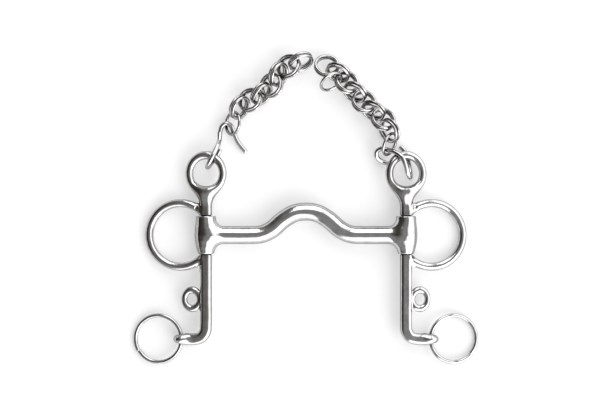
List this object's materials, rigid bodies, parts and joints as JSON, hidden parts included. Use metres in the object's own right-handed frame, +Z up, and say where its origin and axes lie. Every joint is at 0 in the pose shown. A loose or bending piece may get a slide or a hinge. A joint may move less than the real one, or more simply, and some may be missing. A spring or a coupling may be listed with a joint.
{
  "type": "curb bit",
  "caption": "Polished steel Pelham curb bit: ported mouthpiece, turning ringed cheeks, rein rings, curb hooks and a double-link curb chain.",
  "frame": {"origin": "middle of the bounding box at its base, on the surface the bit lies on", "axes": "+X across the mouth from the left cheek to the right cheek as seen from above, +Y up the cheeks towards the curb chain, +Z up off the surface"},
  "size_m": [0.243, 0.219, 0.0204],
  "materials": {
    "polished_steel": "cast and mirror polished, fine polishing marks",
    "wire_steel": "bright drawn wire, polished",
    "chain_steel": "bright tumbled wire links"
  },
  "bodies": {
    "mouthpiece": {"mouthpiece": "polished_steel"},
    "left_cheek": {"left_cheek_shank": "polished_steel", "left_side_ring": "wire_steel", "left_lip_strap_eye": "wire_steel"},
    "left_rein_ring": {"left_rein_ring": "wire_steel"},
    "left_curb_hook": {"left_curb_hook": "wire_steel"},
    "right_cheek": {"right_cheek_shank": "polished_steel", "right_side_ring": "wire_steel", "right_lip_strap_eye": "wire_steel"},
    "right_rein_ring": {"right_rein_ring": "wire_steel"},
    "right_curb_hook": {"right_curb_hook": "wire_steel"},
    "chain_right_end": {"chain_right_end_link": "chain_steel"},
    "chain_pair_01": {"chain_pair_01_a": "chain_steel", "chain_pair_01_b": "chain_steel"},
    "chain_pair_02": {"chain_pair_02_a": "chain_steel", "chain_pair_02_b": "chain_steel"},
    "chain_pair_03": {"chain_pair_03_a": "chain_steel", "chain_pair_03_b": "chain_steel"},
    "chain_pair_04": {"chain_pair_04_a": "chain_steel", "chain_pair_04_b": "chain_steel"},
    "chain_pair_05": {"chain_pair_05_a": "chain_steel", "chain_pair_05_b": "chain_steel"},
    "chain_pair_06": {"chain_pair_06_a": "chain_steel", "chain_pair_06_b": "chain_steel"},
    "chain_pair_07": {"chain_pair_07_a": "chain_steel", "chain_pair_07_b": "chain_steel"},
    "chain_pair_08": {"chain_pair_08_a": "chain_steel", "chain_pair_08_b": "chain_steel"},
    "chain_pair_09": {"chain_pair_09_a": "chain_steel", "chain_pair_09_b": "chain_steel"},
    "chain_pair_10": {"chain_pair_10_a": "chain_steel", "chain_pair_10_b": "chain_steel"},
    "chain_pair_11": {"chain_pair_11_a": "chain_steel", "chain_pair_11_b": "chain_steel"},
    "chain_pair_12": {"chain_pair_12_a": "chain_steel", "chain_pair_12_b": "chain_steel"},
    "chain_pair_13": {"chain_pair_13_a": "chain_steel", "chain_pair_13_b": "chain_steel"},
    "chain_pair_14": {"chain_pair_14_a": "chain_steel", "chain_pair_14_b": "chain_steel"},
    "chain_pair_15": {"chain_pair_15_a": "chain_steel", "chain_pair_15_b": "chain_steel"},
    "chain_left_end": {"chain_left_end_link": "chain_steel"},
    "chain_fly": {"chain_fly_link": "chain_steel"}
  },
  "joints": [
    {"name": "left_cheek_swivel", "type": "hinge", "parent": "mouthpiece", "child": "left_cheek", "pos_m": [-0.07, -0.01856, 0.00806], "axis": [0, 1, 0], "range_deg": [-150, 150]},
    {"name": "left_rein_ring_swing", "type": "hinge", "parent": "left_cheek", "child": "left_rein_ring", "pos_m": [-0.08735, -0.09156, 0.0058], "axis": [0, 1, 0], "range_deg": [-140, 140]},
    {"name": "left_curb_hook_swing", "type": "hinge", "parent": "left_cheek", "child": "left_curb_hook", "pos_m": [-0.0634, 0.03509, 0.00891], "axis": [0.8015, -0.5888, 0.1041], "range_deg": [-100, 100]},
    {"name": "right_cheek_swivel", "type": "hinge", "parent": "mouthpiece", "child": "right_cheek", "pos_m": [0.07, -0.01856, 0.00806], "axis": [0, -1, 0], "range_deg": [-150, 150]},
    {"name": "right_rein_ring_swing", "type": "hinge", "parent": "right_cheek", "child": "right_rein_ring", "pos_m": [0.08735, -0.09156, 0.0058], "axis": [0, -1, 0], "range_deg": [-140, 140]},
    {"name": "right_curb_hook_swing", "type": "hinge", "parent": "right_cheek", "child": "right_curb_hook", "pos_m": [0.06959, 0.03728, 0.00811], "axis": [0.991, 0.0377, -0.1287], "range_deg": [-27, 29]},
    {"name": "chain_right_end_swing", "type": "hinge", "parent": "right_curb_hook", "child": "chain_right_end", "pos_m": [0.05666, 0.04119, 0.00902], "axis": [-0.893, 0.2544, -0.3713], "range_deg": [-54, 45]},
    {"name": "chain_left_end_swing", "type": "hinge", "parent": "left_curb_hook", "child": "chain_left_end", "pos_m": [-0.05355, 0.05871, 0.00472], "axis": [0.7967, -0.6036, -0.0315], "range_deg": [-21, 36]},
    {"name": "chain_slide_01", "type": "hinge", "parent": "chain_right_end", "child": "chain_pair_01", "pos_m": [0.0585, 0.04504, 0.00906], "axis": [0.7978, -0.3391, 0.4986], "range_deg": [-40, 40]},
    {"name": "chain_slide_02", "type": "hinge", "parent": "chain_pair_01", "child": "chain_pair_02", "pos_m": [0.05827, 0.0545, 0.00906], "axis": [-0.7329, -0.389, 0.5581], "range_deg": [-35, 40]},
    {"name": "chain_slide_03", "type": "hinge", "parent": "chain_pair_02", "child": "chain_pair_03", "pos_m": [0.05395, 0.06244, 0.00906], "axis": [-0.2954, -0.4807, -0.8256], "range_deg": [-15, 40]},
    {"name": "chain_slide_04", "type": "hinge", "parent": "chain_pair_03", "child": "chain_pair_04", "pos_m": [0.04706, 0.0684, 0.00906], "axis": [0.4185, 0.7519, -0.5094], "range_deg": [-40, 38]},
    {"name": "chain_slide_05", "type": "hinge", "parent": "chain_pair_04", "child": "chain_pair_05", "pos_m": [0.0405, 0.07473, 0.00906], "axis": [0.2513, 0.4614, 0.8509], "range_deg": [-40, 33]},
    {"name": "chain_slide_06", "type": "hinge", "parent": "chain_pair_05", "child": "chain_pair_06", "pos_m": [0.03421, 0.08133, 0.00906], "axis": [-0.4683, -0.7022, 0.5363], "range_deg": [-40, 17]},
    {"name": "chain_slide_07", "type": "hinge", "parent": "chain_pair_06", "child": "chain_pair_07", "pos_m": [0.02851, 0.08843, 0.00906], "axis": [-0.373, -0.4408, -0.8165], "range_deg": [-0.9, 8]},
    {"name": "chain_slide_08", "type": "hinge", "parent": "chain_pair_07", "child": "chain_pair_08", "pos_m": [0.02236, 0.0951, 0.00906], "axis": [0.3353, 0.7725, -0.5393], "range_deg": [-37, 0.9]},
    {"name": "chain_slide_15", "type": "hinge", "parent": "chain_left_end", "child": "chain_pair_15", "pos_m": [-0.0513, 0.05974, 0.00766], "axis": [0.7852, -0.0805, -0.614], "range_deg": [-40, 0.7]},
    {"name": "chain_slide_14", "type": "hinge", "parent": "chain_pair_15", "child": "chain_pair_14", "pos_m": [-0.04646, 0.07064, 0.00906], "axis": [0.7316, -0.4059, 0.5477], "range_deg": [-1.8, 40]},
    {"name": "chain_slide_13", "type": "hinge", "parent": "chain_pair_14", "child": "chain_pair_13", "pos_m": [-0.03904, 0.07582, 0.00906], "axis": [-0.3532, 0.3994, 0.846], "range_deg": [-0.7, 40]},
    {"name": "chain_slide_12", "type": "hinge", "parent": "chain_pair_13", "child": "chain_pair_12", "pos_m": [-0.0311, 0.08026, 0.00906], "axis": [-0.6583, 0.5608, -0.5021], "range_deg": [-40, 11]},
    {"name": "chain_slide_11", "type": "hinge", "parent": "chain_pair_12", "child": "chain_pair_11", "pos_m": [-0.02424, 0.08623, 0.00906], "axis": [0.4997, -0.2369, -0.8332], "range_deg": [-10, 1.4]},
    {"name": "chain_slide_10", "type": "hinge", "parent": "chain_pair_11", "child": "chain_pair_10", "pos_m": [-0.01935, 0.09392, 0.00906], "axis": [0.7662, -0.3172, 0.5588], "range_deg": [-0.5, 25]},
    {"name": "chain_slide_09", "type": "hinge", "parent": "chain_pair_10", "child": "chain_pair_09", "pos_m": [-0.01223, 0.0995, 0.00906], "axis": [-0.3853, 0.4086, 0.8274], "range_deg": [-8, 29]},
    {"name": "chain_fly_slide", "type": "hinge", "parent": "chain_pair_06", "child": "chain_fly", "pos_m": [0.02851, 0.08843, 0.00906], "axis": [0.373, 0.4408, 0.8165], "range_deg": [-12, 40]}
  ]
}
